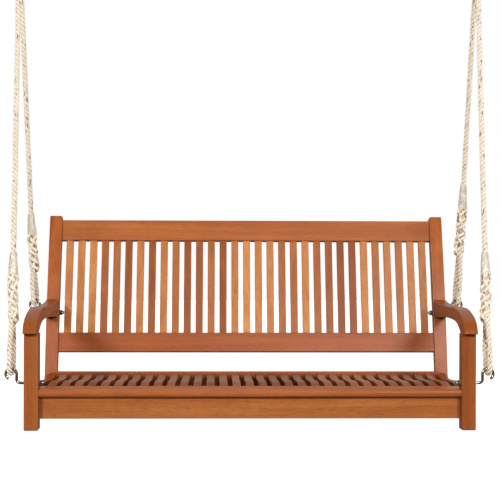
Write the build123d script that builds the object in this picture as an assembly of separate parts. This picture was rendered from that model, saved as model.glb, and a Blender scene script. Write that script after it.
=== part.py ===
"""A two-seat hardwood porch swing that hangs on rope from two steel rings.

Millimetres, +Z up. The front faces -Y and the bench runs along X. The origin lies on the plane under the
feet, midway along the bench and midway between the noses of the arms and the backs of the posts.
While the pieces are drawn, y counts backwards from the front face of the front legs; write() shifts them.
"""

import math
import os

from build123d import *

# Bench frame
BENCH_HALF = 625.0  # half the length over the front legs
LEG_WIDE, LEG_DEEP, LEG_TALL = 40.0, 42.0, 268.0
FOOT_CHAMFER = 2.5
POST_WIDE, POST_DEEP, POST_TALL = 38.0, 33.0, 602.0
POST_OUTER = 624.0
RAIL_THICK = 22.0
APRON_BOTTOM, APRON_TOP, APRON_THICK = 30.0, 91.0, 18.0

# The back posts rise plumb to a knee, then lean back along an arc round this centre
BACK_RADIUS, BACK_CENTRE_Y, BACK_CENTRE_Z = 3325.0, 3699.0, -467.5
KNEE_Z = 100.0

# Seat
SLATS, SLAT_PITCH = 31, 37.3
SEAT_SLAT_WIDE, SEAT_SLAT_THICK = 23.0, 20.0
SLAT_FRONT, SLAT_BACK = 85.0, 392.0
SEAT_TOP = [(SLAT_FRONT, 113.5), (160.0, 118.5), (270.0, 111.0), (SLAT_BACK, 116.0)]
NOSE_FRONT, NOSE_TOP = 3.0, 114.0
REAR_RAIL_TOP = 121.0
SIDE_RAIL_WIDE = 24.0
NOSE_ROUND, REAR_RAIL_ROUND = 10.0, 4.0
BEARER_HALF, BEARER_BOTTOM = 15.0, 45.0

# Tenons: lengths, then half-widths or (low, high) pairs of their other sides
TENON, STUB, BACK_TENON, REAR_RAIL_TENON, BEARER_TENON = 18.0, 10.0, 22.0, 14.0, 12.0
SEAT_STUB_HALF, SEAT_STUB_HALF_TALL = 7.0, 5.0
BACK_STUB_HALF, BACK_STUB_HALF_THICK = 8.0, 4.0
BACK_TENON_DEPTH, BACK_TENON_HALF_TALL = (5.0, 17.0), 20.0
APRON_TENON_DEPTH = (4.0, 14.0)
APRON_TENON_TALL = (APRON_BOTTOM + 10, APRON_TOP - 15)
REAR_RAIL_TENON_DEPTH, REAR_RAIL_TENON_TALL = (SLAT_BACK + 10, SLAT_BACK + 22), (98.0, 109.0)
BEARER_TENON_HALF, BEARER_TENON_TALL = 9.0, (55.0, 80.0)
SIDE_TENON_HALF, SIDE_TENON_TALL = 6.0, (82.0, 106.0)
ARM_TENON_HALF, ARM_TENON_DEPTH, ARM_TENON_TALL = 9.0, (9.0, 33.0), 26.0

# Softened edges
SLAT_EDGE, BOARD_EDGE, ARM_EDGE, POST_CHAMFER = 1.5, 2.0, 3.0, 2.5

# Back panel, drawn upright and leaned afterwards about the middle of its lower rail
LOWER_RAIL_TALL, TOP_RAIL_TALL = 60.0, 66.0
LOWER_RAIL_Z, TOP_RAIL_Z = 210.0, 558.5
BACK_RAIL_INSET = 8.0
BACK_SLAT_WIDE, BACK_SLAT_THICK = 22.5, 12.0

# Arms, with a nose that rolls down over the leg
ARM_WIDE, ARM_OUTER = 37.5, 625.5
ARM_TOP = [(490, 342), (419, 334), (322, 330.5), (200, 332), (115, 332), (40, 318), (-5, 299), (-25, 268)]
ARM_UNDER = [(LEG_DEEP, 268), (68, 281), (107, 292.5), (150, 296.5), (312, 295), (490, 284)]

# Steel: M8 hook bolts with washers and acorn nuts, M6 bolts with barrel nuts
ROD = 8.0
HOOK_ARC, HOOK_RISE, HOOK_REACH, ELBOW = 15.0, 25.0, 662.0, 10.0
HOOK_SWEEP = 245.0
FRONT_HOOK_Y, FRONT_HOOK_Z = LEG_DEEP / 2, 130.0
REAR_HOOK_Z = 298.0
WASHER_RADIUS, WASHER_THICK = 10.0, 1.6
NUT_FLATS, NUT_HEX, NUT_RADIUS = 14.0, 6.5, 6.9
TIP_CHAMFER = 1.2
BOLT, BOLT_LONG, BOLT_HEAD, HEAD_TALL, HEAD_SUNK = 6.0, 62.0, 10.0, 6.0, 3.0
SOCKET_RADIUS, SOCKET_FLOOR = 2.5, 2.5
BARREL, BARREL_HALF, BARREL_BACK = 10.0, 8.0, 55.0
ARM_BOLT_Z, RAIL_BOLT_Z = 326.0, 87.0
CLEARANCE, HEAD_CLEARANCE = 0.2, 0.5

# Rope, splices, tape and hanging rings
ROPE = 16.0
EASE = 0.3
BIGHT = ROD / 2 + ROPE / 2 + EASE
SPLICE_RADIUS = 14.8
TAPE_FOOT, TAPE_CROWN, TAPE_THICK = 14.0, 9.3, 1.0
RING_X, RING_Y, RING_Z, RING_RADIUS = 685.0, 297.0, 1410.0, 29.0
RING_APPROACH = 16.0
SEIZING_DROP, SEIZING_RISE, SEIZING_TALL, SEIZING_WALL = 62.0, 4.0, 34.0, 3.0
SPLICE_SHOULDER = (2.0, 6.0)  # how much thinner a splice is at its foot, and over what height
# For each rope end: length of the eye below the splice, of the splice and of the tape
ROPE_ENDS = {
    "front_left": (127.0, 138.0, 60.0),
    "rear_left": (90.0, 119.0, 59.0),
    "front_right": (131.0, 138.0, 61.0),
    "rear_right": (144.0, 152.0, 67.0),
}
# Eyes: the turn of the bight about the upright, the straight run above it, and where each leg
# passes: share of the eye's length, distance to the side and distance to the front or rear
EYE_TURN, EYE_RISE = 11.0, 20.0
EYE_PLACES = ((0.42, 4.5, 9.5), (0.78, 2.0, 8.3))
EYE_TOP, EYE_TUCK = 6.0, 25.0


def block(x, y, z):
    """A box from three (low, high) pairs."""
    size = Box(x[1] - x[0], y[1] - y[0], z[1] - z[0], align=(Align.MIN, Align.MIN, Align.MIN))
    return Pos(x[0], y[0], z[0]) * size


def bar(radius, length):
    """A round bar that stands on the origin."""
    return Cylinder(radius, length, align=(Align.CENTER, Align.CENTER, Align.MIN))


def rod_along_x(radius, x, y, z):
    """A round bar from x[0] to x[1]."""
    return Pos(x[0], y, z) * Rot(Y=90) * bar(radius, x[1] - x[0])


def rod_along_y(radius, x, y, z):
    """A round bar from y[0] to y[1]."""
    return Pos(x, y[0], z) * Rot(X=-90) * bar(radius, y[1] - y[0])


def side_board(edges, x):
    """A board sawn to an outline in the (y, z) plane, from x[0] to x[1]."""
    face = Plane.YZ * make_face(Curve() + edges)
    return Pos(x[0], 0, 0) * extrude(face, amount=x[1] - x[0])


def softened(board, axis, radius):
    """The board with its long edges, those along the axis, rounded."""
    return fillet(board.edges().filter_by(axis), radius)


def post_face(z, depth=0.0):
    """The point (y, z) on the back curve whose front face passes height z, that far inside the post."""
    lean = math.asin((z - BACK_CENTRE_Z) / BACK_RADIUS)
    radius = BACK_RADIUS - depth
    return BACK_CENTRE_Y - radius * math.cos(lean), BACK_CENTRE_Z + radius * math.sin(lean)


def row(part):
    """The part repeated at the pitch of the slats, symmetrically about the middle."""
    return [Pos((i - (SLATS - 1) / 2) * SLAT_PITCH, 0, 0) * part for i in range(SLATS)]


LEG_INNER = BENCH_HALF - LEG_WIDE
POST_INNER = POST_OUTER - POST_WIDE
POST_FRONT = post_face(KNEE_Z)[0]
POST_REAR = post_face(KNEE_Z, POST_DEEP)[0]
BACK_EDGE = post_face(POST_TALL, POST_DEEP)[0]
MIDDLE_Y = (BACK_EDGE + ARM_TOP[-1][0]) / 2
REAR_HOOK_Y = post_face(REAR_HOOK_Z)[0] + POST_DEEP / 2
SPAN = (-LEG_INNER, LEG_INNER)
NODES = {}


def write(name, *solids):
    """Keeps the solids of one named sub-part, shifted to the shared origin."""
    shifted = [Pos(0, -MIDDLE_Y, 0) * solid for piece in solids for solid in piece.solids()]
    NODES[name] = shifted
    export_step(shifted[0] if len(shifted) == 1 else Compound(shifted), f"parts/{name}.step")


def on_side(side, solid):
    """A solid drawn on the +X side, or its mirror image where the side is left."""
    return mirror(solid, about=Plane.YZ) if side == "left" else solid


def write_pair(name, solid):
    """Keeps a piece drawn on the +X side as NAME_right, and its mirror image as NAME_left."""
    for side in ("right", "left"):
        write(f"{name}_{side}", on_side(side, solid))


def both_sides(*solids):
    """The solids and their mirror images."""
    return [*solids, *[on_side("left", solid) for solid in solids]]


# ---------------------------------------------------------------- wood: seat


def seat_curve(drop=0.0):
    """The contour of the seat, lowered by drop."""
    return Spline(*[(y, z - drop) for y, z in SEAT_TOP])


def seat_slat():
    """One contoured slat with a stub tenon at each end."""
    top, under = seat_curve(), seat_curve(SEAT_SLAT_THICK)
    ends = [Line(top @ 0, under @ 0), Line(top @ 1, under @ 1)]
    slat = side_board([top, under, *ends], (-SEAT_SLAT_WIDE / 2, SEAT_SLAT_WIDE / 2))
    upper_edges = slat.edges().filter_by(GeomType.BSPLINE).sort_by(Axis.Z)[-2:]
    return fillet(upper_edges, SLAT_EDGE)


def slat_tenons():
    """The stub tenons at the front and at the back of a seat slat."""
    tenons = []
    for y, z in ((SLAT_FRONT - STUB, SEAT_TOP[0][1]), (SLAT_BACK, SEAT_TOP[-1][1])):
        middle = z - SEAT_SLAT_THICK / 2
        tall = (middle - SEAT_STUB_HALF_TALL, middle + SEAT_STUB_HALF_TALL)
        tenons.append(block((-SEAT_STUB_HALF, SEAT_STUB_HALF), (y, y + STUB), tall))
    return tenons


def front_seat_rail(tenons):
    """The rail across the front of the seat, with a bullnose and mortises for the slats."""
    rail = block(SPAN, (NOSE_FRONT, SLAT_FRONT), (APRON_TOP, NOSE_TOP))
    along = rail.edges().filter_by(Axis.X)
    rail = fillet(along.sort_by(Axis.Y)[:2], NOSE_ROUND)
    return rail - row(tenons[0])


def rear_seat_rail(tenons):
    """The rail across the back of the seat, tenoned into the side rails."""
    rail = block(SPAN, (SLAT_BACK, POST_FRONT), (APRON_TOP, REAR_RAIL_TOP))
    rail = fillet(rail.edges().filter_by(Axis.X).group_by(Axis.Z)[-1], REAR_RAIL_ROUND)
    return rail - row(tenons[1]) + both_sides(rear_rail_tenon())


def rear_rail_tenon():
    return block((LEG_INNER, LEG_INNER + REAR_RAIL_TENON), REAR_RAIL_TENON_DEPTH, REAR_RAIL_TENON_TALL)


def apron_tenon(y):
    """The tenon at the +X end of an apron whose front face is at y."""
    depth = (y + APRON_TENON_DEPTH[0], y + APRON_TENON_DEPTH[1])
    return block((LEG_INNER, LEG_INNER + TENON), depth, APRON_TENON_TALL)


def apron(y):
    board = block(SPAN, (y, y + APRON_THICK), (APRON_BOTTOM, APRON_TOP))
    board = softened(board, Axis.X, SLAT_EDGE)
    return board + both_sides(apron_tenon(y))


def bearer_tenon(y):
    return block((-BEARER_TENON_HALF, BEARER_TENON_HALF), y, BEARER_TENON_TALL)


def centre_bearer(front, back):
    """The bearer under the middle of the seat, cut to the underside of the slats."""
    under = seat_curve(SEAT_SLAT_THICK)
    corners = [under @ 0, (SLAT_FRONT, APRON_TOP), (front, APRON_TOP), (front, BEARER_BOTTOM)]
    corners += [(back, BEARER_BOTTOM), (back, APRON_TOP), (SLAT_BACK, APRON_TOP), under @ 1]
    board = side_board([under, Polyline(*corners)], (-BEARER_HALF, BEARER_HALF))
    front_tenon = bearer_tenon((front - BEARER_TENON, front))
    return board + front_tenon + bearer_tenon((back, back + BEARER_TENON))


def side_rail_tenon():
    middle = LEG_INNER + SIDE_RAIL_WIDE / 2
    wide = (middle - SIDE_TENON_HALF, middle + SIDE_TENON_HALF)
    return block(wide, (LEG_DEEP - TENON, LEG_DEEP), SIDE_TENON_TALL)


def side_rail():
    """The rail at the +X end of the seat, with the contour of the slats on its top."""
    top = seat_curve()
    corners = [top @ 1, (POST_FRONT, SEAT_TOP[-1][1]), (POST_FRONT, APRON_BOTTOM)]
    corners += [(LEG_DEEP, APRON_BOTTOM), (LEG_DEEP, SEAT_TOP[0][1]), top @ 0]
    rail = side_board([top, Polyline(*corners)], (LEG_INNER, LEG_INNER + SIDE_RAIL_WIDE))
    return rail + side_rail_tenon()


# ---------------------------------------------------------------- wood: legs, posts and arms


def arm_tenon():
    """The tenon on top of the +X front leg."""
    middle = BENCH_HALF - LEG_WIDE / 2
    wide = (middle - ARM_TENON_HALF, middle + ARM_TENON_HALF)
    return block(wide, ARM_TENON_DEPTH, (LEG_TALL, LEG_TALL + ARM_TENON_TALL))


def front_leg():
    leg = block((LEG_INNER, BENCH_HALF), (0, LEG_DEEP), (0, LEG_TALL))
    leg = chamfer(leg.faces().sort_by(Axis.Z)[0].edges(), FOOT_CHAMFER)
    return softened(leg, Axis.Z, BOARD_EDGE) + arm_tenon()


def post_board(x):
    """A board with the curved outline of a back post, from x[0] to x[1]."""
    knee, crown = (POST_FRONT, KNEE_Z), post_face(POST_TALL)
    rear_knee, rear_crown = post_face(KNEE_Z, POST_DEEP), post_face(POST_TALL, POST_DEEP)
    waist = (KNEE_Z + POST_TALL) / 2
    front = ThreePointArc(knee, post_face(waist), crown)
    rear = ThreePointArc(rear_knee, post_face(waist, POST_DEEP), rear_crown)
    foot = Polyline(knee, (POST_FRONT, 0), (POST_REAR, 0), rear_knee)
    return side_board([foot, front, rear, Line(crown, rear_crown)], x)


def post_blank():
    """The +X back post before it is bored."""
    post = post_board((POST_INNER, POST_OUTER))
    post = chamfer(post.faces().sort_by(Axis.Z)[-1].edges(), POST_CHAMFER)
    return chamfer(post.faces().sort_by(Axis.Z)[0].edges(), FOOT_CHAMFER)


def arm_blank():
    """The +X arm before it is fitted to the post and bored."""
    top, under = Spline(*ARM_TOP), Spline(*ARM_UNDER)
    ends = [Line(top @ 0, under @ 1), Line(top @ 1, under @ 0)]
    arm = side_board([top, under, *ends], (ARM_OUTER - ARM_WIDE, ARM_OUTER))
    long_edges = arm.edges().filter_by(GeomType.BSPLINE)
    nose_end = arm.edges().filter_by(Axis.X).sort_by(Axis.Y)[0]
    return fillet([*long_edges, nose_end], ARM_EDGE)


# ---------------------------------------------------------------- wood: back panel

LOWER_Y, LOWER_Z = post_face(LOWER_RAIL_Z, BACK_RAIL_INSET)
TOP_Y, TOP_Z = post_face(TOP_RAIL_Z, BACK_RAIL_INSET)
BACK_LEAN = math.degrees(math.atan2(TOP_Y - LOWER_Y, TOP_Z - LOWER_Z))
BACK_RISE = math.hypot(TOP_Y - LOWER_Y, TOP_Z - LOWER_Z)
LEANED = Pos(0, LOWER_Y, LOWER_Z) * Rot(X=-BACK_LEAN)
SLAT_LOW, SLAT_HIGH = LOWER_RAIL_TALL / 2, BACK_RISE - TOP_RAIL_TALL / 2


def back_rail_tenon(z):
    """The tenon at the +X end of the back rail at that height of the panel."""
    tall = (z - BACK_TENON_HALF_TALL, z + BACK_TENON_HALF_TALL)
    return block((POST_INNER, POST_INNER + BACK_TENON), BACK_TENON_DEPTH, tall)


def back_rail(z, tall, mortises):
    rail = block((-POST_INNER, POST_INNER), (0, RAIL_THICK), (z - tall / 2, z + tall / 2))
    rail = softened(rail, Axis.X, BOARD_EDGE) - mortises
    return LEANED * (rail + both_sides(back_rail_tenon(z)))


def back_slat():
    """A slat of the back, between the shoulders of its tenons."""
    middle = RAIL_THICK / 2
    width = (-BACK_SLAT_WIDE / 2, BACK_SLAT_WIDE / 2)
    depth = (middle - BACK_SLAT_THICK / 2, middle + BACK_SLAT_THICK / 2)
    return softened(block(width, depth, (SLAT_LOW, SLAT_HIGH)), Axis.Z, SLAT_EDGE)


def back_slat_tenon(z):
    middle = RAIL_THICK / 2
    depth = (middle - BACK_STUB_HALF_THICK, middle + BACK_STUB_HALF_THICK)
    return block((-BACK_STUB_HALF, BACK_STUB_HALF), depth, (z, z + STUB))


# ---------------------------------------------------------------- steel


def hook(inside, y, z):
    """A bent hook bolt through the wood at +X: elbow, stem and an arc that turns back down."""
    stem = HOOK_REACH - HOOK_ARC
    shank = Line((inside - WASHER_THICK - NUT_HEX - 3, z), (stem - ELBOW, z))
    elbow = CenterArc((stem - ELBOW, z + ELBOW), ELBOW, -90, 90)
    riser = Line((stem, z + ELBOW), (stem, z + HOOK_RISE))
    crook = CenterArc((HOOK_REACH, z + HOOK_RISE), HOOK_ARC, 180, -HOOK_SWEEP)
    path = Wire([Pos(0, y, 0) * (Rot(X=90) * edge) for edge in (shank, elbow, riser, crook)])
    bar = sweep(Plane(origin=path @ 0, z_dir=path % 0) * Circle(ROD / 2), path=path)
    tip = bar.faces().filter_by(GeomType.PLANE).sort_by(Axis.X)[-1]
    return chamfer(tip.edges(), TIP_CHAMFER)


def washer(x, y, z):
    disc = rod_along_x(WASHER_RADIUS, (x, x + WASHER_THICK), y, z)
    return disc - rod_along_x(ROD / 2, (x - 1, x + WASHER_THICK + 1), y, z)


def acorn_nut(x, y, z):
    """A hexagon with a domed cap, its seat at x and its dome towards the middle of the bench."""
    hexagon = extrude(RegularPolygon(NUT_FLATS / 2, 6, major_radius=False), NUT_HEX)
    cap = Pos(0, 0, NUT_RADIUS) * Box(2 * NUT_FLATS, 2 * NUT_FLATS, 2 * NUT_RADIUS)
    dome = Pos(0, 0, NUT_HEX) * (Sphere(NUT_RADIUS) & cap)
    nut = Pos(x, y, z) * Rot(Y=-90) * (hexagon + dome)
    return nut - rod_along_x(ROD / 2, (x - NUT_HEX - 3, x + 1), y, z)


def frame_bolt(x, y, z):
    """A socket-headed bolt that runs forward from its head at y."""
    head = rod_along_y(BOLT_HEAD / 2, x, (y, y + HEAD_TALL), z)
    socket = rod_along_y(SOCKET_RADIUS, x, (y + SOCKET_FLOOR, y + HEAD_TALL + 1), z)
    return head - socket + rod_along_y(BOLT / 2, x, (y - BOLT_LONG, y), z)


def barrel_nut(x, y, z):
    barrel = rod_along_x(BARREL / 2, (x - BARREL_HALF, x + BARREL_HALF), y, z)
    return barrel - rod_along_y(BOLT / 2, x, (y - BARREL, y + BARREL), z)


# ---------------------------------------------------------------- rope


def rope_line(hook_y, hook_z, facing):
    """Where one rope end starts on its hook, and where it reaches the seizing under the ring."""
    start = Vector(HOOK_REACH, hook_y, hook_z + HOOK_RISE + HOOK_ARC)
    end = Vector(RING_X, RING_Y + facing * (ROPE / 2 + EASE), RING_Z - SEIZING_DROP)
    return start, end


def eye(start, along, length):
    """The paths of an eye: under the hook, then up each leg; the legs close one behind the other."""
    legs = []
    for way in (-1, 1):
        foot = start + Vector(0, way * BIGHT, 0).rotate(Axis.Z, EYE_TURN)
        leg = [foot, foot + Vector(0, 0, EYE_RISE)]
        for share, aside, fore in EYE_PLACES:
            leg.append(start + along * (share * length) + Vector(-way * aside, way * fore, 0))
        legs.append([*leg, start + along * (length + EYE_TUCK) + Vector(0, way * EYE_TOP, 0)])
    bend = ThreePointArc(legs[0][0], start - Vector(0, 0, BIGHT), legs[1][0])
    return [bend, *[FilletPolyline(*leg, radius=corner_radii(leg)) for leg in legs]]


def corner_radii(points):
    """The largest arc that the two runs beside each corner leave room for."""
    radii = []
    for before, here, after in zip(points, points[1:], points[2:]):
        turn = math.radians((here - before).get_angle(after - here))
        run = min((here - before).length, (after - here).length)
        radii.append(0.45 * run / math.tan(turn / 2))
    return radii


def tube(pieces):
    """The rope along a path of tangent pieces."""
    path = Wire([edge for piece in pieces for edge in piece.edges()])
    return sweep(Plane(origin=path @ 0, z_dir=path % 0) * Circle(ROPE / 2), path=path)


def turned(start, along, low, profile):
    """A solid of revolution about a rope line, from (radius, height) pairs that start at low."""
    outline = Polyline(*profile, close=True)
    return Plane(origin=start + along * low, z_dir=along) * revolve(Plane.XZ * make_face(outline), Axis.Z)


def splice(start, along, low, high, tape_long):
    """The fat stretch where the rope's strands are tucked back into it, tapering under its tape."""
    tall = high - low
    fat, foot, crown = SPLICE_RADIUS, TAPE_FOOT - TAPE_THICK, TAPE_CROWN - TAPE_THICK
    thinner, rise = SPLICE_SHOULDER
    profile = [(0, 0), (fat - thinner, 0), (fat, rise), (fat, tall - rise), (foot, tall)]
    profile += [(crown, tall + tape_long), (0, tall + tape_long)]
    return turned(start, along, low, profile)


def tape_sleeve(start, along, low, high):
    """The tape over the taper of a splice."""
    tall = high - low
    inner = [(TAPE_FOOT - TAPE_THICK, 0), (TAPE_CROWN - TAPE_THICK, tall)]
    return turned(start, along, low, [*inner, (TAPE_CROWN, tall), (TAPE_FOOT, 0)])


def rope_end(name, hook_y, hook_z, facing):
    """The eye and splice at one hook, the tape above them, and the line's start and direction."""
    start, end = rope_line(hook_y, hook_z, facing)
    along = (end - start).normalized()
    eye_long, splice_long, tape_long = ROPE_ENDS[name]
    top = eye_long + splice_long
    solids = splice(start, along, eye_long, top, tape_long)
    for piece in eye(start, along, eye_long):
        solids = solids + tube([piece])
    tape = tape_sleeve(start, along, top, top + tape_long)
    return start + along * (eye_long + EYE_TUCK), end, solids, tape


def standing_path(front, front_end, rear_end, rear):
    """The rope from the front splice up, over the rod of the ring and down to the rear splice."""
    ring = Vector(RING_X, RING_Y, RING_Z)
    crown = ThreePointArc(ring + (0, -BIGHT, 0), ring + (0, 0, BIGHT), ring + (0, BIGHT, 0))
    fore = [front, front_end, ring + (0, -BIGHT, -RING_APPROACH), ring + (0, -BIGHT, 0)]
    aft = [ring + (0, BIGHT, 0), ring + (0, BIGHT, -RING_APPROACH), rear_end, rear]
    fore_path = FilletPolyline(*fore, radius=corner_radii(fore))
    aft_path = FilletPolyline(*aft, radius=corner_radii(aft))
    print("standing rope bends", [round(radius) for radius in corner_radii(fore) + corner_radii(aft)])
    return [fore_path, crown, aft_path]


def seizing(ropes):
    """The whipping that binds both parts of a rope together under its ring."""
    band = SlotOverall(2 * ROPE + 2 * EASE + 2 * SEIZING_WALL, ROPE + 2 * SEIZING_WALL, rotation=90)
    base = Plane(origin=(RING_X, RING_Y, RING_Z - SEIZING_DROP + SEIZING_RISE - SEIZING_TALL / 2))
    return extrude(base * band, SEIZING_TALL) - ropes


def hanging_ring():
    """A welded ring in the plane of the hooks; the rope passes over its lowest point."""
    return Pos(RING_X, RING_Y, RING_Z + RING_RADIUS) * Rot(X=90) * Torus(RING_RADIUS, ROD / 2)


# ---------------------------------------------------------------- assembly


def make_hooks(leg, post):
    """The four hook bolts with their washers and nuts; returns the bored leg and post."""
    outer, inner, nuts = [], [], []
    places = (("front", FRONT_HOOK_Y, FRONT_HOOK_Z, LEG_INNER, BENCH_HALF),
              ("rear", REAR_HOOK_Y, REAR_HOOK_Z, POST_INNER, POST_OUTER))
    for name, y, z, inside, outside in places:
        write_pair(f"hook_{name}", hook(inside, y, z))
        outer.append(washer(outside, y, z))
        inner.append(washer(inside - WASHER_THICK, y, z))
        nuts.append(acorn_nut(inside - WASHER_THICK, y, z))
    write("outer_washers", *both_sides(*outer))
    write("inner_washers", *both_sides(*inner))
    write("acorn_nuts", *both_sides(*nuts))
    bore = ROD / 2 + CLEARANCE
    return (leg - rod_along_x(bore, (LEG_INNER - 1, BENCH_HALF + 1), FRONT_HOOK_Y, FRONT_HOOK_Z),
            post - rod_along_x(bore, (POST_INNER - 1, POST_OUTER + 1), REAR_HOOK_Y, REAR_HOOK_Z))


def make_bolted_joints(post, arm, rail):
    """The bolts from the back of the post into the arm and the side rail; returns the bored wood."""
    arm_place = (ARM_OUTER - ARM_WIDE / 2 - 2, ARM_BOLT_Z, post_face(ARM_BOLT_Z, POST_DEEP)[0], arm)
    rail_place = (LEG_INNER + SIDE_RAIL_WIDE / 2, RAIL_BOLT_Z, POST_REAR, rail)
    bolts, barrels, bored = [], [], []
    for x, z, rear, wood in (arm_place, rail_place):
        seat = rear - HEAD_TALL - HEAD_SUNK
        bolts.append(frame_bolt(x, seat, z))
        barrels.append(barrel_nut(x, seat - BARREL_BACK, z))
        hole = rod_along_y(BOLT / 2 + CLEARANCE, x, (seat - BOLT_LONG - 4, seat + 1), z)
        pocket = rod_along_y(BOLT_HEAD / 2 + HEAD_CLEARANCE, x, (seat, seat + POST_DEEP), z)
        nut_reach = (x - BARREL_HALF, x + ARM_WIDE)
        nut_hole = rod_along_x(BARREL / 2 + CLEARANCE, nut_reach, seat - BARREL_BACK, z)
        post = post - hole - pocket
        bored.append(wood - hole - nut_hole)
    write("frame_bolts", *both_sides(*bolts))
    write("barrel_nuts", *both_sides(*barrels))
    return post, *bored


def make_seat(rail):
    """The seat: its slats, rails, aprons and bearer."""
    slat, tenons = seat_slat(), slat_tenons()
    front_apron_y = LEG_DEEP - APRON_THICK
    rear_apron_y = POST_FRONT - APRON_THICK
    bearer = centre_bearer(LEG_DEEP, rear_apron_y)
    write("seat_slats", *row(slat + tenons))
    write("front_seat_rail", front_seat_rail(tenons))
    write("rear_seat_rail", rear_seat_rail(tenons))
    write("front_apron", apron(front_apron_y) - bearer)
    write("rear_apron", apron(rear_apron_y) - bearer)
    write("centre_bearer", bearer)
    write_pair("side_rail", rail - apron(rear_apron_y) - rear_rail_tenon())
    return apron_tenon(front_apron_y)


def make_back(post):
    """The back panel between the posts; returns the post with its mortises."""
    tenons = [back_slat_tenon(SLAT_LOW - STUB), back_slat_tenon(SLAT_HIGH)]
    write("lower_back_rail", back_rail(0, LOWER_RAIL_TALL, row(tenons[0])))
    write("top_back_rail", back_rail(BACK_RISE, TOP_RAIL_TALL, row(tenons[1])))
    write("back_slats", *[LEANED * slat for slat in row(back_slat() + tenons)])
    return post - LEANED * back_rail_tenon(0) - LEANED * back_rail_tenon(BACK_RISE)


def make_ropes():
    """Both ropes with their tape, seizings and rings, on either side of the bench."""
    for side in ("right", "left"):
        front, front_end, front_eye, front_tape = rope_end(f"front_{side}", FRONT_HOOK_Y, FRONT_HOOK_Z, -1)
        rear, rear_end, rear_eye, rear_tape = rope_end(f"rear_{side}", REAR_HOOK_Y, REAR_HOOK_Z, 1)
        path = standing_path(front, front_end, rear_end, rear)
        line = tube(path)
        length = sum(edge.length for edge in path)
        share = line.volume / (length * math.pi * ROPE ** 2 / 4)
        print(side, "standing rope", round(length), "mm, volume share", round(share, 4))
        rope = line + front_eye + rear_eye
        print(side, "rope", len(rope.solids()), "solid of", round(rope.volume), "mm3")
        write(f"rope_{side}", on_side(side, rope))
        write(f"tape_front_{side}", on_side(side, front_tape))
        write(f"tape_rear_{side}", on_side(side, rear_tape))
        write(f"seizing_{side}", on_side(side, seizing(line)))
        write(f"hanging_ring_{side}", on_side(side, hanging_ring()))


def main():
    os.makedirs("parts", exist_ok=True)
    post, leg = post_blank(), front_leg()
    arm = arm_blank() - post_board((POST_INNER - 9, ARM_OUTER + 9)) - arm_tenon()
    arm = arm.solids().sort_by(Axis.Y)[0]
    leg, post = make_hooks(leg, post)
    post, arm, rail = make_bolted_joints(post, arm, side_rail())
    front_tenon = make_seat(rail)
    write_pair("front_leg", leg - front_tenon - side_rail_tenon())
    write_pair("back_post", make_back(post))
    write_pair("arm", arm)
    make_ropes()
    for name, solids in sorted(NODES.items()):
        low, high = Compound(solids).bounding_box().min, Compound(solids).bounding_box().max
        print(name, len(solids), [round(value, 1) for value in (*low, *high)])


main()
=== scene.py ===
"""Porch swing seat: materials for the hardwood and steel, and three-strand ropes with eye splices."""

import math
import random

import bpy
import numpy as np
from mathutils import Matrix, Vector


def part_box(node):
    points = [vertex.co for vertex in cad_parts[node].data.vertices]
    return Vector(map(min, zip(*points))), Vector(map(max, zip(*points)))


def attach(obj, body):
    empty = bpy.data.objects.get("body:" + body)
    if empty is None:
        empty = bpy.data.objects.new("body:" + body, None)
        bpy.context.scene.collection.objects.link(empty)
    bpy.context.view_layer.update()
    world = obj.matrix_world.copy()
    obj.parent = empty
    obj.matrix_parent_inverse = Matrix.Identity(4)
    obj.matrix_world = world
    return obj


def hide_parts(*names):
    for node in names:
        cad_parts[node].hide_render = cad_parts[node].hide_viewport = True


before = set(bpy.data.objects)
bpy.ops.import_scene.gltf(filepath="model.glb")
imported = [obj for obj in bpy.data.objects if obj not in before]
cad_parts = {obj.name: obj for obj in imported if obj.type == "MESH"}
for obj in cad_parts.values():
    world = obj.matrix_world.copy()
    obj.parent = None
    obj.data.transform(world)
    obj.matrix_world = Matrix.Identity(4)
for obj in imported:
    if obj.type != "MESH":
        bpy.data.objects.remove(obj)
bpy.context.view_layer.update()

# ---------------------------------------------------------------- sizes, in metres

SIDES = {"right": 1, "left": -1}
SLAT_PITCH = 0.0373

# The rope, its three strands, and the yarns that show as ridges on each
ROPE, ROPE_LAY = 0.016, 0.0395
STRAND_RADIUS, STRAND_ORBIT = 0.0039, 0.0042
YARNS, YARN_TWIST, YARN_RIDGE = 6, 110.0, 0.035
ROPE_STEP = 0.002

# Rods, and how far round them, past the splice and below the ring the rope's line is fixed
HOOK_ROD, RING_ROD = 0.008, 0.008
HOOK_TOP_IN = 0.019
BIGHT = 0.0123
STRAIGHT_FROM = 0.060
CROWN_DROP = 0.016

# The two parts of a rope lie side by side under the seizing, each this far from the middle
PART_OUT = ROPE / 2 + 0.0003
SEIZING_DROP, SEIZING_TALL = 0.062, 0.034
SEIZING_RAISED = 0.004
TWINE = 0.0022

# Splices: how the strands wind and weave, the knuckle where the spare leg enters, and the lean to it
SPLICE_LAY, WEAVE = 0.064, 0.0020
SPLICE_ORBIT, ORBIT_STRAY = 0.0097, 0.0004
OWN_STRAND, TUCKED_STRAND = 0.0052, 0.0047
KNUCKLE, KNUCKLE_AT, KNUCKLE_HALF = 0.0035, 0.013, 0.011
SPLICE_LEAN = 0.0030
SPLICE_STEP = 0.0015
UNDER_TAPE = 0.012

# Tape: its radius at the foot and at the crown, and the sheet's thickness and width
TAPE_FOOT, TAPE_CROWN = 0.0142, 0.0094
TAPE_THICK, TAPE_WIDE = 0.0006, 0.014

# Length of the eye below each splice, of the splice and of its tape
ROPE_ENDS = {
    "front_left": (0.127, 0.138, 0.060),
    "rear_left": (0.090, 0.119, 0.059),
    "front_right": (0.131, 0.138, 0.061),
    "rear_right": (0.144, 0.152, 0.067),
}

# ---------------------------------------------------------------- shader helpers


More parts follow.
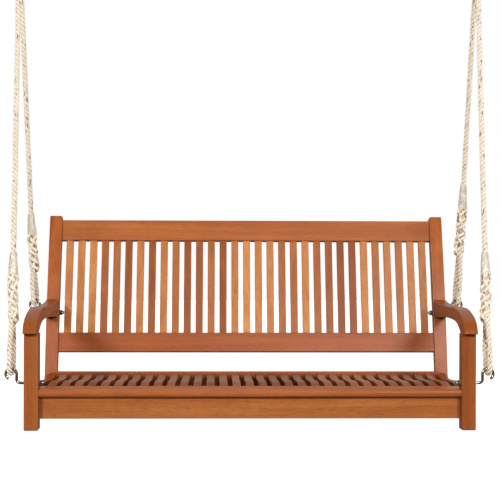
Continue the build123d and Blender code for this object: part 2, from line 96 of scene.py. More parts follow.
class Tree:
    """A node tree, with short calls that make its nodes."""

    def __init__(self, tree):
        self.nodes = tree.nodes
        self.links = tree.links

    def node(self, kind, inputs=None, **settings):
        made = self.nodes.new(kind)
        for key, value in settings.items():
            setattr(made, key, value)
        for key, value in (inputs or {}).items():
            self.put(made.inputs[key], value)
        return made

    def put(self, socket, value):
        """Links a socket, or sets it to a constant."""
        if isinstance(value, bpy.types.NodeSocket):
            self.links.new(value, socket)
        else:
            socket.default_value = value

    def math(self, operation, a, b=0.0, c=0.0):
        return self.node("ShaderNodeMath", {0: a, 1: b, 2: c}, operation=operation).outputs[0]


class Shader(Tree):
    """A material's node tree, with short calls for the nodes that the recipes below use."""

    def __init__(self, name):
        self.material = bpy.data.materials.new(name)
        self.material.use_nodes = True
        super().__init__(self.material.node_tree)
        self.surface = self.nodes["Principled BSDF"]

    def place(self):
        """Where the surface is, in metres."""
        return self.node("ShaderNodeTexCoord").outputs["Object"]

    def joined(self, *parts):
        return self.node("ShaderNodeCombineXYZ", dict(enumerate(parts))).outputs[0]

    def parts(self, vector):
        return self.node("ShaderNodeSeparateXYZ", {0: vector}).outputs

    def scaled(self, vector, factors):
        made = self.node("ShaderNodeVectorMath", {0: vector, 1: factors}, operation="MULTIPLY")
        return made.outputs[0]

    def shifted(self, vector, offset):
        made = self.node("ShaderNodeVectorMath", {0: vector, 1: offset}, operation="ADD")
        return made.outputs[0]

    def noise(self, vector, scale=1.0, detail=3.0, roughness=0.5, distortion=0.0):
        values = {"Vector": vector, "Scale": scale, "Detail": detail, "Roughness": roughness}
        return self.node("ShaderNodeTexNoise", {**values, "Distortion": distortion}).outputs["Fac"]

    def ramp(self, value, stops):
        """A colour ramp from (position, colour) pairs; a number stands for a grey."""
        made = self.node("ShaderNodeValToRGB", {"Fac": value})
        elements = made.color_ramp.elements
        while len(elements) < len(stops):
            elements.new(0.5)
        for element, (position, colour) in zip(elements, stops):
            element.position = position
            element.color = (colour,) * 3 + (1,) if isinstance(colour, (int, float)) else (*colour, 1)
        return made.outputs["Color"]

    def mix(self, factor, a, b, blend="MIX"):
        """Mixes two colours."""
        made = self.node("ShaderNodeMix", data_type="RGBA", blend_type=blend)
        for socket, value in zip((made.inputs[0], made.inputs[6], made.inputs[7]), (factor, a, b)):
            self.put(socket, value)
        return made.outputs[2]

    def blend(self, a, b, share=0.5):
        """The sum of two values, the first counted for one share and the second for the rest."""
        return self.math("ADD", self.math("MULTIPLY", a, share), self.math("MULTIPLY", b, 1 - share))

    def openness(self, distance, samples, inside=False):
        """How open the surface is within that distance or, inside, how thick the wood is behind it."""
        made = self.node("ShaderNodeAmbientOcclusion", {"Distance": distance}, samples=samples, inside=inside)
        return made.outputs["AO"]

    def bump(self, height, strength, distance):
        values = {"Height": height, "Strength": strength, "Distance": distance}
        return self.node("ShaderNodeBump", values).outputs["Normal"]

    def finish(self, **sockets):
        """Sets the Principled sockets; underscores in the names stand for spaces."""
        for key, value in sockets.items():
            self.put(self.surface.inputs[key.replace("_", " ")], value)
        return self.material


# ---------------------------------------------------------------- materials

# Colours of the hardwood: each pair goes from a red board to a golden one
PALE_WOOD = ((0.44, 0.110, 0.021, 1), (0.72, 0.340, 0.110, 1))
DEEP_WOOD = ((0.33, 0.068, 0.011, 1), (0.54, 0.215, 0.058, 1))
# Pores, painted shade for crevices and corners, and pale worn edges
PORE, PAINTED_CREVICE_SHADE, WORN_EDGE = (0.15, 0.034, 0.010, 1), (0.055, 0.012, 0.004, 1), (0.75, 0.36, 0.16, 1)


def board_place(shader, grain, seed):
    """A place in the tree, its first part along the grain, and the distance from the bench's middle."""
    x, y, z = shader.parts(shader.place())
    order = {"X": (x, y, z), "Y": (y, x, z), "Z": (z, x, y)}[grain]
    return shader.shifted(shader.joined(*order), (seed * 1.7, seed * 0.31, seed * 0.53)), x


def slat_place(shader, board, x, seed, tone, depth):
    """The same for a row of slats, each with a place, a tone and a depth of its own."""
    number = shader.math("ROUND", shader.math("DIVIDE", x, SLAT_PITCH))
    number = shader.math("ADD", number, seed * 40.0)
    pick = shader.node("ShaderNodeTexWhiteNoise", {"W": number}, noise_dimensions="1D")
    board = shader.shifted(board, shader.scaled(pick.outputs["Color"], (9.0, 2.0, 2.0)))
    tone = shader.math("MULTIPLY", pick.outputs["Value"], tone)
    depth = shader.math("ADD", shader.math("MULTIPLY", pick.outputs["Value"], 0.44 * depth), 0.76 * depth)
    return board, tone, depth


def grain_lines(shader, board):
    """The board's streaks, where it is closed between pores, and its figure of bands and streaks."""
    drift = shader.noise(shader.scaled(board, (1.6, 7.0, 7.0)), detail=2.0)
    wander = shader.math("MULTIPLY", shader.math("SUBTRACT", drift, 0.5), 0.035)
    bent = shader.shifted(board, shader.joined(0.0, wander, wander))
    bands = shader.noise(shader.scaled(bent, (0.9, 48.0, 48.0)), detail=2.0, distortion=0.4)
    streaks = shader.noise(shader.scaled(bent, (3.5, 330.0, 330.0)), detail=4.0, roughness=0.65)
    pores = shader.noise(shader.scaled(bent, (46.0, 1500.0, 1500.0)), detail=1.0)
    closed = shader.ramp(pores, [(0.57, 1.0), (0.71, 0.28)])
    return streaks, closed, shader.blend(bands, streaks)


def wood(name, grain, seed, tone, depth, slatted=False):
    """Oiled reddish hardwood, dark in its pores, painted with shade in its crevices, and worn pale on its
    edges.

    The grain is the axis along the board, the tone goes from 0, red, to 1, golden, and the depth is how
    light the board is: partly its own colour and partly painted shade, darker on boards that get less light.
    """
    shader = Shader(name)
    board, x = board_place(shader, grain, seed)
    if slatted:
        board, tone, depth = slat_place(shader, board, x, seed, tone, depth)
    streaks, closed, figure = grain_lines(shader, board)
    mottle = shader.noise(board, scale=11.0, detail=2.0)

    pale, deep = shader.mix(tone, *PALE_WOOD), shader.mix(tone, *DEEP_WOOD)
    colour = shader.mix(shader.ramp(figure, [(0.37, 0.0), (0.63, 1.0)]), deep, pale)
    colour = shader.mix(1.0, colour, shader.ramp(mottle, [(0.25, 0.90), (0.75, 1.06)]), "MULTIPLY")
    # Painted shade in part: the depth darkens the boards that get less light, such as the legs and arms
    colour = shader.scaled(colour, shader.joined(depth, depth, depth))
    colour = shader.mix(closed, PORE, colour)
    # Painted shade: darker where other surfaces are near, in corners, joints and the gaps between slats
    painted_crevice_shade = shader.ramp(shader.openness(0.022, 8), [(0.25, 0.50), (0.85, 0.0)])
    colour = shader.mix(painted_crevice_shade, colour, PAINTED_CREVICE_SHADE)
    corner = shader.ramp(shader.openness(0.003, 6, inside=True), [(0.45, 1.0), (0.85, 0.0)])
    worn = shader.math("MULTIPLY", corner, shader.ramp(streaks, [(0.4, 0.1), (0.6, 0.5)]))
    colour = shader.mix(worn, colour, shader.mix(0.5, colour, WORN_EDGE))

    roughness = shader.ramp(streaks, [(0.3, 0.36), (0.7, 0.26)])
    normal = shader.bump(shader.blend(streaks, closed), 0.22, 0.0006)
    return shader.finish(Base_Color=colour, Roughness=roughness, Normal=normal, Specular_IOR_Level=0.20)


def steel(name):
    """Zinc-plated rod: bright, slightly yellow, with dull patches and fine draw marks."""
    shader = Shader(name)
    position = shader.place()
    patches = shader.noise(position, scale=120.0, detail=3.0)
    marks = shader.noise(shader.scaled(position, (260.0, 1400.0, 1400.0)), detail=2.0)
    colour = shader.ramp(patches, [(0.35, (0.17, 0.10, 0.055)), (0.62, (0.50, 0.43, 0.32))])
    roughness = shader.ramp(patches, [(0.3, 0.30), (0.7, 0.14)])
    normal = shader.bump(marks, 0.12, 0.0002)
    return shader.finish(Base_Color=colour, Metallic=1.0, Roughness=roughness, Normal=normal)


def yarn(name, pale, shadow, flecked=True):
    """Twisted natural fibre: yarns wound round a strand, with painted shade in the grooves between strands
    and yarns.
    """
    shader = Shader(name)
    position = shader.place()
    around, along, _ = shader.parts(shader.node("ShaderNodeUVMap", uv_map="lay").outputs[0])
    turn = shader.math("MULTIPLY_ADD", along, YARN_TWIST, shader.math("MULTIPLY", around, YARNS))
    wobble = shader.noise(position, scale=420.0, detail=2.0)
    turn = shader.math("ADD", turn, shader.math("MULTIPLY", wobble, 0.5))
    wave = shader.math("SINE", shader.math("MULTIPLY", turn, math.tau))
    ridge = shader.math("MULTIPLY_ADD", wave, 0.5, 0.5)
    fibres = shader.noise(shader.scaled(position, (2600.0, 2600.0, 700.0)), detail=2.0)
    broad = shader.noise(position, scale=38.0, detail=2.0)
    # Painted shade: the colour goes to the shadow colour in the grooves between strands and between yarns
    crest, _, _ = shader.parts(shader.node("ShaderNodeUVMap", uv_map="groove").outputs[0])
    crest = shader.ramp(crest, [(0.30, 0.0), (0.72, 1.0)])
    body = shader.math("MULTIPLY", crest, shader.math("ADD", shader.blend(ridge, fibres, 0.7), 0.35))
    colour = shader.mix(shader.ramp(body, [(0.10, 0.0), (0.75, 1.0)]), (*shadow, 1), (*pale, 1))
    colour = shader.mix(1.0, colour, shader.ramp(broad, [(0.3, (0.93, 0.90, 0.84)), (0.7, 1.0)]), "MULTIPLY")
    if flecked:
        colour = coloured_fibres(shader, turn, along, position, colour)
    relief = shader.math("ADD", shader.math("MULTIPLY", ridge, 0.8), shader.math("MULTIPLY", fibres, 0.4))
    return shader.finish(Base_Color=colour, Roughness=0.92, Normal=shader.bump(relief, 0.75, 0.0009),
                         Sheen_Weight=0.15, Sheen_Roughness=0.5, Specular_IOR_Level=0.2,
                         Subsurface_Weight=0.30, Subsurface_Scale=1.0,
                         Subsurface_Radius=(0.006, 0.0045, 0.003))


def coloured_fibres(shader, turn, along, position, colour):
    """The yarn's colour with short red and blue fibres spun in here and there."""
    aside, _, _ = shader.parts(position)
    stretched = shader.joined(shader.math("MULTIPLY", turn, 1.1), shader.math("MULTIPLY", along, 75.0),
                              shader.math("MULTIPLY", aside, 60.0))
    cells = shader.node("ShaderNodeTexVoronoi", {"Vector": stretched, "Scale": 1.0})
    pick, _, hue = shader.node("ShaderNodeSeparateColor", {0: cells.outputs["Color"]}).outputs
    near = shader.math("ADD", cells.outputs["Distance"], shader.math("MULTIPLY", pick, 1.5))
    near = shader.ramp(near, [(0.46, 1.0), (0.56, 0.0)])
    fibre = shader.ramp(hue, [(0.78, (0.26, 0.055, 0.022)), (0.82, (0.09, 0.11, 0.30))])
    return shader.mix(near, colour, fibre)


def film(name):
    """Milky adhesive tape pulled tight over the rope, with wrinkles across and along it, and painted shade in
    their folds.
    """
    shader = Shader(name)
    position = shader.place()
    folds = shader.noise(shader.scaled(position, (260.0, 260.0, 55.0)), detail=3.0, roughness=0.6)
    clouds = shader.noise(position, scale=70.0, detail=2.0)
    colour = shader.ramp(clouds, [(0.3, (0.57, 0.51, 0.41)), (0.7, (0.86, 0.81, 0.71))])
    # Painted shade: darker brown in the folds of the wrinkles
    colour = shader.mix(shader.ramp(folds, [(0.48, 0.0), (0.60, 0.80)]), colour, (0.50, 0.41, 0.28, 1))
    roughness = shader.ramp(folds, [(0.3, 0.26), (0.7, 0.46)])
    return shader.finish(Base_Color=colour, Roughness=roughness, Normal=shader.bump(folds, 0.6, 0.0008),
                         Subsurface_Weight=0.15, Subsurface_Radius=(0.003, 0.003, 0.002),
                         Coat_Weight=0.15, Coat_Roughness=0.25)


# Each board: the axis of its grain, its place in the tree, its tone and its depth, which is partly painted
# shade
BOARDS = {
    "front_leg_left": ("Z", 1.0, 0.14, 0.80), "front_leg_right": ("Z", 2.0, 0.08, 0.74),
    "back_post_left": ("Z", 3.0, 0.04, 1.0), "back_post_right": ("Z", 4.0, 0.10, 1.0),
    "arm_left": ("Y", 5.0, 0.06, 0.80), "arm_right": ("Y", 6.0, 0.02, 0.80),
    "side_rail_left": ("Y", 7.0, 0.06, 0.70), "side_rail_right": ("Y", 8.0, 0.10, 0.70),
    "top_back_rail": ("X", 9.0, 0.16, 0.98), "lower_back_rail": ("X", 10.0, 0.0, 0.93),
    "front_seat_rail": ("X", 11.0, 0.12, 0.95), "rear_seat_rail": ("X", 12.0, 0.05, 0.80),
    "front_apron": ("X", 13.0, 0.24, 0.90), "rear_apron": ("X", 14.0, 0.10, 0.85),
    "centre_bearer": ("Y", 15.0, 0.10, 0.85),
}
# Rows of slats, the same way; the seat slats' low depth partly paints the shade that falls on them
SLATS = {"seat_slats": ("Y", 16.0, 0.16, 0.72), "back_slats": ("Z", 17.0, 0.72, 0.98)}
STEEL_NODES = [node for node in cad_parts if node.startswith(("hook_", "hanging_ring_"))]
STEEL_NODES += ["outer_washers", "inner_washers", "acorn_nuts", "frame_bolts", "barrel_nuts"]


def dress(node, material):
    """Gives a CAD node its material."""
    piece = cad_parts[node]
    piece.data.materials.clear()
    piece.data.materials.append(material)


def dress_frame():
    for node, values in BOARDS.items():
        dress(node, wood(f"wood_{node}", *values))
    for node, values in SLATS.items():
        dress(node, wood(f"wood_{node}", *values, slatted=True))
    zinc = steel("zinc_plate")
    for node in STEEL_NODES:
        dress(node, zinc)


# ---------------------------------------------------------------- rope


def spline_points(controls):
    """The points of the smooth NURBS line that has these control points."""
    data = bpy.data.curves.new("route", "CURVE")
    data.dimensions = "3D"
    line = data.splines.new("NURBS")
    line.points.add(len(controls) - 1)
    for point, place in zip(line.points, controls):
        point.co = (*place, 1)
    line.order_u = 3
    line.use_endpoint_u = True
    line.resolution_u = 24
    holder = bpy.data.objects.new("route", data)
    mesh = bpy.data.meshes.new_from_object(holder)
    points = np.array([vertex.co[:] for vertex in mesh.vertices])
    bpy.data.objects.remove(holder)
    bpy.data.curves.remove(data)
    bpy.data.meshes.remove(mesh)
    return points


def reaches(points):
    """How far along the line each of its points is."""
    return np.concatenate([[0], np.cumsum(np.linalg.norm(np.diff(points, axis=0), axis=1))])


def directions(points):
    """The unit vector along the line at each point."""
    tangents = np.gradient(points, axis=0)
    return tangents / np.linalg.norm(tangents, axis=1)[:, None]


def evenly(points, step):
    """The line at even spacing, about step apart, and the distance of each point along it."""
    reach = reaches(points)
    places = np.linspace(0, reach[-1], max(3, round(reach[-1] / step) + 1))
    return np.stack([np.interp(places, reach, points[:, axis]) for axis in range(3)], axis=1), places


def transported(points, first=(1.0, 0.0, 0.0)):
    """Two unit vectors across the line at each point, carried along it without twist."""
    tangents = directions(points)
    normals = np.empty_like(points)
    normal = np.array(first, float)
    for i, tangent in enumerate(tangents):
        normal = normal - tangent * normal.dot(tangent)
        normal /= np.linalg.norm(normal)
        normals[i] = normal
    return normals, np.cross(tangents, normals)


def across(angle, normal, binormal):
    """The unit vector across a line at that angle round it, or one for each point of the line."""
    return np.cos(angle) * normal + np.sin(angle) * binormal


def add_mesh(name, corners, faces, material):
    """A new object with a smooth mesh."""
    mesh = bpy.data.meshes.new(name)
    mesh.from_pydata([tuple(corner) for corner in corners], [], faces)
    mesh.polygons.foreach_set("use_smooth", [True] * len(faces))
    mesh.materials.append(material)
    mesh.update()
    piece = bpy.data.objects.new(name, mesh)
    bpy.context.scene.collection.objects.link(piece)
    return piece


def strand_rings(points, radii, hand, around):
    """The corners of one strand, ring by ring, with its yarns as ridges."""
    normals, binormals = transported(points, (0.31, 0.95, 0.05))
    reach = reaches(points)
    corners = []
    for i, point in enumerate(points):
        for j in range(around):
            arm = across(math.tau * j / around, normals[i], binormals[i])
            ridge = math.sin(math.tau * (YARNS * hand * j / around + YARN_TWIST * reach[i]))
            corners.append(point + arm * radii[i] * (1 + YARN_RIDGE * ridge))
    return np.array(corners).reshape(len(points), around, 3)


def strand_mesh(name, strands, material, hand=1, around=18):
    """One mesh of strands, each given as (centre points, radii, axis of the rope).

    Two UV layers carry what the material needs: lay is the place round and along the strand, and groove
    is how far the surface stands out from the rope's axis, 1 at the crest of a strand and 0 between strands.
    """
    corners, faces, lays, crests = [], [], [], []
    for points, radii, axis in strands:
        first, count, reach = len(corners), len(points), reaches(points)
        rings = strand_rings(points, radii, hand, around)
        corners += list(rings.reshape(-1, 3))
        outermost = np.linalg.norm(points - axis, axis=1) + radii
        depth = (outermost[:, None] - np.linalg.norm(rings - axis[:, None], axis=2)) / (0.9 * radii[:, None])
        crests += np.clip(1 - depth, 0, 1).ravel().tolist()
        for i in range(count - 1):
            for j in range(around):
                k = (j + 1) % around
                low, high = first + i * around, first + (i + 1) * around
                faces.append((low + j, low + k, high + k, high + j))
                left, right = hand * j / around, hand * (j + 1) / around
                below, above = reach[i], reach[i + 1]
                lays.append([(left, below), (right, below), (right, above), (left, above)])
        for ring, turn in ((first, -1), (first + (count - 1) * around, 1)):
            faces.append(tuple([ring + j for j in range(around)][::turn]))
            lays.append([(0.5, 0.0)] * around)
    piece = add_mesh(name, corners, faces, material)
    lay = piece.data.uv_layers.new(name="lay")
    lay.data.foreach_set("uv", [value for face in lays for pair in face for value in pair])
    groove = piece.data.uv_layers.new(name="groove")
    flat = [crests[corner] for face in faces for corner in face]
    groove.data.foreach_set("uv", [value for crest in flat for value in (crest, 0.0)])
    return piece


def rope_strands(points, hand):
    """The three strands of a rope along a line, left-handed where hand is below 0."""
    normals, binormals = transported(points)
    turn = math.tau * reaches(points) / (hand * ROPE_LAY)
    made = []
    for number in range(3):
        arms = across((math.tau * number / 3 + turn)[:, None], normals, binormals)
        made.append((points + STRAND_ORBIT * arms, np.full(len(points), STRAND_RADIUS), points))
    return made


def spliced_strands(start, along, low, high, hand, seed):
    """The six strands of a splice: the rope's own three, and the three tucked against their lay.

    They pass over and under each other in turn. Where the spare leg of the eye enters, on the side
    towards the bench, there is a thick knuckle.
    """
    rng = random.Random(seed)
    tall = high - low
    places = np.linspace(0, tall, round(tall / SPLICE_STEP))
    inward = np.array((-hand, 0.0, 0.0))
    lean = SPLICE_LEAN * np.interp(places / tall, [0, 0.15, 0.5], [1, 1, 0])
    points = np.array(start + along * low) + np.outer(places, np.array(along)) + np.outer(lean, inward)
    normals, binormals = transported(points)
    own_turn, tuck_turn = math.tau / (hand * SPLICE_LAY), -0.35 * math.tau / (hand * SPLICE_LAY)
    weave = np.cos(1.5 * (own_turn - tuck_turn) * places)
    spread = np.interp(places, [0, 0.012, tall - 0.016, tall - 0.008, tall], [0.45, 1, 1, 0.80, 0.75])
    taper = np.interp(places, [0, 0.006, tall - 0.016, tall - 0.008], [0.7, 1, 1, 0.85])
    made = []
    for number in range(6):
        own = number % 2 == 0
        side, turn, thick = (1, own_turn, OWN_STRAND) if own else (-1, tuck_turn, TUCKED_STRAND)
        slack = 0.30 * np.sin(places / 0.019 + rng.uniform(0, math.tau))
        angles = math.tau * (number // 2) / 3 + turn * places + slack
        arms = across(angles[:, None], normals, binormals)
        bulge = np.exp(-((places - KNUCKLE_AT) / KNUCKLE_HALF) ** 2) * np.clip(arms @ inward, 0, 1)
        orbit = (SPLICE_ORBIT + side * WEAVE * weave + rng.uniform(-ORBIT_STRAY, ORBIT_STRAY)) * spread
        line = points + (orbit + KNUCKLE * bulge)[:, None] * arms
        made.append((line, thick * taper * (1 + 0.05 * side * weave), points))
    return made


def fuzz_mesh(name, lines, material, seed):
    """Stray fibres on the ropes' surfaces, as fine curved hairs; lines are (points, radius, count)."""
    rng = np.random.default_rng(seed)
    strands = []
    for points, radius, count in lines:
        normals, binormals = transported(points)
        tangents = directions(points)
        for i in rng.integers(4, len(points) - 4, count):
            arm = across(rng.uniform(0, math.tau), normals[i], binormals[i])
            around = np.cross(tangents[i], arm)
            root = points[i] + arm * radius * rng.uniform(0.86, 0.98)
            flow = tangents[i] * rng.choice((-1, 1))
            flow = flow + around * rng.uniform(-0.9, 0.9) + arm * rng.uniform(0.2, 0.9)
            flow /= np.linalg.norm(flow)
            curl = arm * rng.uniform(-0.5, 0.9) + around * rng.uniform(-0.6, 0.6)
            steps = np.linspace(0, 1, 5)[:, None] * rng.uniform(0.003, 0.008)
            hair = root + flow * steps + curl * steps ** 2 * 60
            strands.append((hair, np.linspace(0.00016, 0.00006, 5), hair))
    return strand_mesh(name, strands, material, around=3)


def tape_rings(points, tall, hand, around, inset, rng):
    """The corners of one face of the tape, ring by ring; inset is how far inside the outer face it is."""
    normals, binormals = transported(points)
    corners = []
    for i, share in enumerate(i / (len(points) - 1) for i in range(len(points))):
        radius = TAPE_FOOT + (TAPE_CROWN - TAPE_FOOT) * share ** 0.85
        for angle in (math.tau * j / around for j in range(around)):
            under = 6 * (angle - hand * math.tau * share * tall / SPLICE_LAY)
            lump = 0.0006 * (1 - 0.7 * share) * math.cos(under) + 0.0005 * math.cos(angle + 5 * share)
            overlap = 0.00035 * (1 - (angle / math.tau + share * tall / TAPE_WIDE) % 1.0)
            crease = 0.0 if inset else 0.00012 * rng.standard_normal()
            arm = across(angle, normals[i], binormals[i])
            corners.append(points[i] + arm * (radius + lump + overlap + crease - inset))
    return corners


def tape_mesh(name, start, along, low, high, hand, material):
    """Tape over the taper of a splice: it follows the lumps beneath, and its turns overlap."""
    around, rows = 40, 60
    tall = high - low
    base = np.array(start + along * low)
    points = base + np.outer(np.linspace(-0.004, tall + 0.002, rows), np.array(along))
    rng = np.random.default_rng(7)
    corners, faces = [], []
    for inset in (0.0, TAPE_THICK):
        corners += tape_rings(points, tall, hand, around, inset, rng)
    inner, last = rows * around, (rows - 1) * around
    for a in range(0, last, around):
        b = a + around
        for j in range(around):
            k = (j + 1) % around
            faces.append((a + j, a + k, b + k, b + j))
            faces.append((inner + b + j, inner + b + k, inner + a + k, inner + a + j))
    for j in range(around):
        k = (j + 1) % around
        faces.append((j, inner + j, inner + k, k))
        faces.append((last + k, inner + last + k, inner + last + j, last + j))
    return add_mesh(name, corners, faces, material)


def seizing_mesh(name, middle, material):
    """Twine wound round both parts of the rope below the ring."""
    turns, steps = round(SEIZING_TALL / TWINE), 40
    reach = PART_OUT + TWINE / 2
    points = []
    for i in range(turns * steps + 1):
        angle = math.tau * i / steps
        aside = PART_OUT * math.copysign(min(1.0, abs(math.sin(angle)) * 1.6), math.sin(angle))
        y = aside + reach * math.sin(angle) * 0.98
        z = SEIZING_TALL * (i / (turns * steps) - 0.5)
        points.append((middle[0] + reach * math.cos(angle), middle[1] + y, middle[2] + z))
    points = np.array(points)
    middles = np.full(points.shape, middle) * (1, 1, 0) + points * (0, 0, 1)
    return strand_mesh(name, [(points, np.full(len(points), TWINE * 0.52), middles)], material, around=6)


class Side:
    """Where one side's rope goes."""

    def __init__(self, side):
        self.side = side
        self.sign = SIDES[side]
        low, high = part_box(f"hanging_ring_{side}")
        self.ring = Vector(((low[0] + high[0]) / 2, (low[1] + high[1]) / 2, low[2] + RING_ROD / 2))
        self.hooks = {end: self.hook_top(end) for end in ("front", "rear")}
        self.ends = {
            "front": self.ring + Vector((0, -PART_OUT, -SEIZING_DROP)),
            "rear": self.ring + Vector((0, PART_OUT, -SEIZING_DROP)),
        }
        self.alongs = {end: (self.ends[end] - self.hooks[end]).normalized() for end in self.hooks}

    def hook_top(self, end):
        """The middle of the rod at the top of a hook, where the eye hangs."""
        low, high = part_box(f"hook_{end}_{self.side}")
        outer = max(abs(low[0]), abs(high[0]))
        return Vector((self.sign * (outer - HOOK_TOP_IN), (low[1] + high[1]) / 2, high[2] - HOOK_ROD / 2))

    def bight(self, end):
        """The lowest point of an eye, under its hook."""
        return self.hooks[end] + Vector((0, 0, -BIGHT))

    def leg(self, end, way):
        """The points of one leg of an eye, from the foot of its bight up into the splice."""
        start, along = self.hooks[end], self.alongs[end]
        length = ROPE_ENDS[f"{end}_{self.side}"][0]
        # How far along the eye each point is, then how far towards the bench, aside and up from there
        places = (
            (0.0, 0.0024, 0.0121, -BIGHT),
            (0.0, 0.0034, 0.0121, 0.020),
            (0.42 * length, 0.0045, 0.0095, 0.0),
            (0.78 * length, 0.0020, 0.0082, 0.0),
            (length + 0.025, 0.0, 0.0060, 0.0),
        )
        lean = -way * self.sign
        return [start + along * far + Vector((lean * inward, way * aside, up))
                for far, inward, aside, up in places]

    def on_line(self, end, past):
        """A point on the rope's straight part, past the foot of the splice."""
        length = ROPE_ENDS[f"{end}_{self.side}"][0]
        return self.hooks[end] + self.alongs[end] * (length + past)

    def route(self):
        """The rope's line from the front bight over the ring to the rear one, without the spare legs."""
        ring, near = self.ring, 6 * ROPE
        up = [self.bight("front"), *self.leg("front", -1), self.on_line("front", STRAIGHT_FROM)]
        fore = [self.ends["front"] - self.alongs["front"] * near, self.ends["front"]]
        crown = [ring + Vector((0, -BIGHT, -CROWN_DROP)), ring + Vector((0, -BIGHT, BIGHT)),
                 ring + Vector((0, BIGHT, BIGHT)), ring + Vector((0, BIGHT, -CROWN_DROP))]
        aft = [self.ends["rear"], self.ends["rear"] - self.alongs["rear"] * near]
        down = [self.on_line("rear", STRAIGHT_FROM), *reversed(self.leg("rear", 1)), self.bight("rear")]
        return [*up, *fore, *crown, *aft, *down]


def make_end(place, end, way, rope_material, tape_material):
    """An eye's spare leg, its splice and the tape above, and the lines that stray fibres stand on."""
    side, hand = place.side, place.sign
    start, along = place.hooks[end], place.alongs[end]
    eye_long, splice_long, tape_long = ROPE_ENDS[f"{end}_{side}"]
    leg, _ = evenly(spline_points([place.bight(end), *place.leg(end, way)]), ROPE_STEP)
    second = strand_mesh(f"eye_leg_{end}_{side}", rope_strands(leg, hand), rope_material, hand)
    foot = eye_long + splice_long
    tucks = spliced_strands(start, along, eye_long, foot + UNDER_TAPE, hand, len(end) + len(side))
    splice = strand_mesh(f"splice_{end}_{side}", tucks, rope_material, hand)
    tape = tape_mesh(f"tape_{end}_{side}_wrap", start, along, foot, foot + tape_long, hand, tape_material)
    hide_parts(f"tape_{end}_{side}")
    hairy = [(leg, ROPE / 2, 60)] + [(strand, float(radii.max()), 40) for strand, radii, _ in tucks]
    return [second, splice, tape], hairy


def make_side(side, rope_material, twine_material, tape_material):
    place = Side(side)
    hand = place.sign
    points, places = evenly(spline_points(place.route()), ROPE_STEP)
    rope = strand_mesh(f"rope_{side}_strands", rope_strands(points, hand), rope_material, hand)
    extras, hairy = [], [(points, ROPE / 2, 700)]
    for end, way in (("front", 1), ("rear", -1)):
        pieces, lines = make_end(place, end, way, rope_material, tape_material)
        extras += pieces
        hairy += lines
    fuzz = fuzz_mesh(f"fuzz_{side}", hairy, rope_material, 11 + hand)
    middle = place.ring + Vector((0, 0, SEIZING_RAISED - SEIZING_DROP))
    twine = seizing_mesh(f"seizing_{side}_twine", middle, twine_material)
    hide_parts(f"seizing_{side}")
    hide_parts(f"rope_{side}")
    for piece in (rope, twine, fuzz, *extras):
        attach(piece, "seat")
    print(side, "rope length", round(places[-1], 4))


# ---------------------------------------------------------------- studio

# Each light: its place, size, power and whether its reflection shows
LIGHTS = (
    ("key", (-2.9, -5.6, 2.1), 1.1, 204, True),
    ("fill", (2.3, -5.7, 2.3), 1.1, 180, True),
    ("sheen", (0.6, -6.0, 2.4), 0.5, 50, True),
    ("top", (0.0, 0.8, 3.4), 2.2, 14, True),
    ("side_left", (-4.5, 1.2, 1.4), 1.6, 40, False),
    ("side_right", (4.6, -0.4, 1.4), 1.6, 60, False),
    ("rear", (0.6, 6.0, 2.6), 1.6, 50, False),
)


FLOOR_FAR, FLOOR_LEVEL = 60.0, -2.60
LIGHT_AIM = Vector((0, 0, 0.35))

# The camera: how far left of the middle, in front of the legs and up, its aim in degrees, and its lens
CAMERA_LEFT, CAMERA_BACK, CAMERA_UP = 0.100, 3.510, 0.532
CAMERA_TILT, CAMERA_TURN = -0.17, -1.57
LENS, LENS_SHIFT, SENSOR = 91.6, -0.0238, 36.0


def make_floor():
    """A pale floor well below the seat, which hangs from above."""
    shader = Shader("studio_paper")
    fibre = shader.noise(shader.place(), scale=3.0)
    paper = shader.finish(Base_Color=shader.ramp(fibre, [(0.3, 0.90), (0.7, 0.92)]), Roughness=0.9,
                          Emission_Color=(1, 1, 1, 1), Emission_Strength=1.0)
    far = ((-FLOOR_FAR, -FLOOR_FAR), (FLOOR_FAR, -FLOOR_FAR), (FLOOR_FAR, FLOOR_FAR), (-FLOOR_FAR, FLOOR_FAR))
    floor = add_mesh("studio_floor", [(x, y, FLOOR_LEVEL) for x, y in far], [(0, 1, 2, 3)], paper)
    floor.visible_diffuse = False
    floor.visible_glossy = False


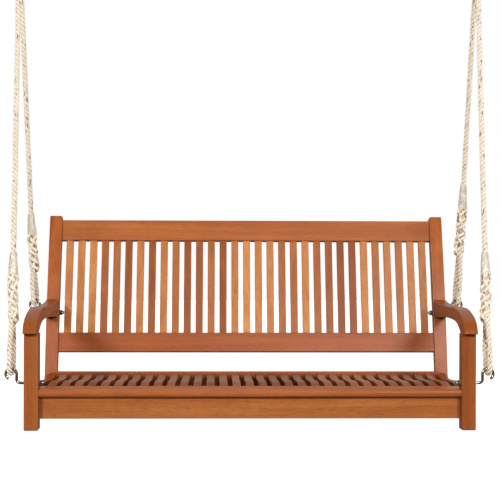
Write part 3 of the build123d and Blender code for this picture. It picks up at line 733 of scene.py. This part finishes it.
def make_lights():
    for name, place, size, power, reflected in LIGHTS:
        data = bpy.data.lights.new(name, "AREA")
        data.shape = "DISK"
        data.size = size
        data.energy = power
        lamp = bpy.data.objects.new(name, data)
        lamp.location = place
        lamp.visible_glossy = reflected
        lamp.rotation_euler = (LIGHT_AIM - Vector(place)).to_track_quat("-Z", "Y").to_euler()
        bpy.context.scene.collection.objects.link(lamp)


def make_world():
    """White to the eye; as light, dim all round, but bright above the horizon behind the swing."""
    world = bpy.data.worlds.new("studio")
    bpy.context.scene.world = world
    world.use_nodes = True
    tree = Tree(world.node_tree)
    direction = tree.node("ShaderNodeTexCoord").outputs["Generated"]
    _, y, z = tree.node("ShaderNodeSeparateXYZ", {0: direction}).outputs
    above = tree.node("ShaderNodeMapRange", {"Value": z, "From Min": 0.02, "From Max": 0.08}).outputs[0]
    behind = tree.node("ShaderNodeMapRange", {"Value": y, "From Min": 0.2, "From Max": 0.8}).outputs[0]
    lit = tree.math("MULTIPLY", above, behind)
    strength = tree.node("ShaderNodeMapRange", {"Value": lit, "To Min": 0.20, "To Max": 0.60}).outputs[0]
    seen = tree.node("ShaderNodeLightPath").outputs["Is Camera Ray"]
    background = tree.nodes["Background"].inputs
    background["Color"].default_value = (1, 1, 1, 1)
    tree.put(background["Strength"], tree.math("MAXIMUM", strength, seen))


def make_camera():
    """Nearly level, at about the height of the top rail, with a long lens in front of the seat."""
    data = bpy.data.cameras.new("camera")
    data.sensor_width = SENSOR
    data.lens = LENS
    data.shift_y = LENS_SHIFT
    camera = bpy.data.objects.new("camera", data)
    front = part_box("front_leg_left")[0][1]
    camera.location = (-CAMERA_LEFT, front - CAMERA_BACK, CAMERA_UP)
    camera.rotation_euler = (math.pi / 2, math.radians(CAMERA_TILT), math.radians(CAMERA_TURN))
    bpy.context.scene.collection.objects.link(camera)
    bpy.context.scene.camera = camera
    bpy.context.scene.view_settings.view_transform = "Standard"


def main():
    make_camera()
    rope = yarn("rope_yarn", (0.99, 0.90, 0.77), (0.58, 0.40, 0.22))
    twine = yarn("seizing_yarn", (0.86, 0.77, 0.61), (0.46, 0.33, 0.19), flecked=False)
    tape = film("tape_film")
    for side in SIDES:
        make_side(side, rope, twine, tape)
    dress_frame()
    make_floor()
    make_lights()
    make_world()


main()
